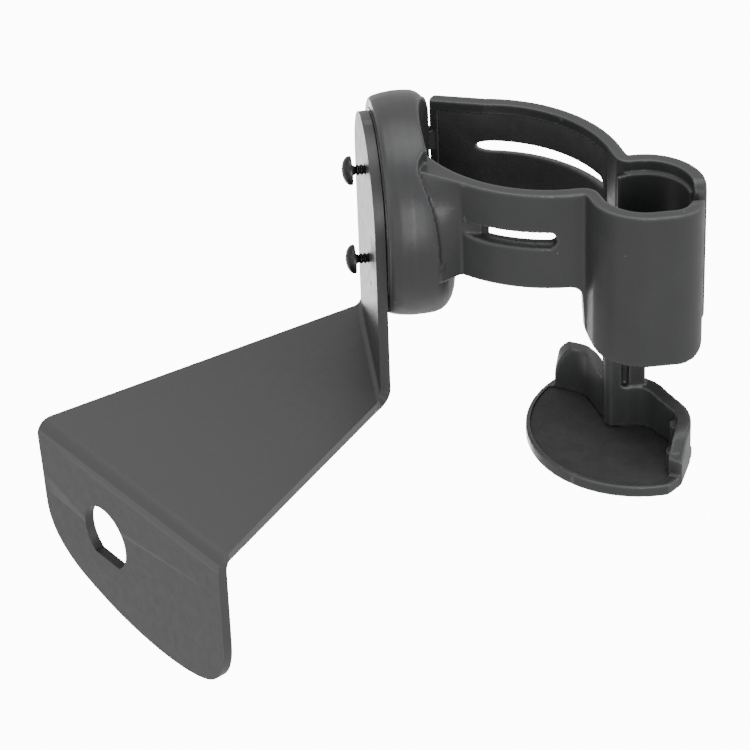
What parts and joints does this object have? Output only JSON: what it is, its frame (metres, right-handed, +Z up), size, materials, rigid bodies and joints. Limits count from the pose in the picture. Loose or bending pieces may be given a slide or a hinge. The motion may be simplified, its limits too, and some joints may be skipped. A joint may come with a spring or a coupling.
{
  "type": "swivel clamp holder bracket",
  "caption": "Folded steel bracket with a swivelling plastic holder: a fixed and a hinged curved arm meet in a small round lug above a tray on a sliding stem.",
  "frame": {"origin": "centre of the D-shaped fixing hole on the front face of the bracket flange", "axes": "+X along the swivel axis from the bracket tab to the clamp arms, +Z up, +Y towards the hinged arm"},
  "size_m": [0.2077, 0.1386, 0.1442],
  "materials": {
    "bracket_coating": "black powder coat, fine satin grain",
    "black_screw": "black oxide",
    "moulding": "satin moulded black plastic",
    "foam": "matt black foam rubber",
    "bright_steel": "zinc-plated steel",
    "nylon": "natural nylon"
  },
  "bodies": {
    "bracket": {"mount_plate": "bracket_coating", "screw_upper": "black_screw", "screw_lower": "black_screw", "nut_upper": "bright_steel", "nut_lower": "bright_steel", "base_disc": "moulding", "friction_ring": "nylon"},
    "holder": {"holder_body": "moulding", "front_liner": "foam", "pivot_screw": "bright_steel", "pivot_washer": "bright_steel", "spring_washer": "bright_steel", "hinge_pin": "bright_steel", "stem_socket": "moulding", "stem_clip": "bright_steel"},
    "rear_arm": {"rear_arm": "moulding", "rear_liner": "foam"},
    "tray": {"tray": "moulding", "tray_pad": "foam", "stem_stop": "bright_steel"}
  },
  "joints": [
    {"name": "holder_swivel", "type": "hinge", "parent": "bracket", "child": "holder", "pos_m": [0.09357, 0.05217, 0.0797], "axis": [1, 0, 0], "continuous": true},
    {"name": "rear_arm_hinge", "type": "hinge", "parent": "holder", "child": "rear_arm", "pos_m": [0.10987, 0.07277, 0.0797], "axis": [0, 0, 1], "range_deg": [0, 50]},
    {"name": "tray_slide", "type": "slide", "parent": "holder", "child": "tray", "axis": [0, 0, 1], "range_m": [-0.009, 0.015]}
  ]
}
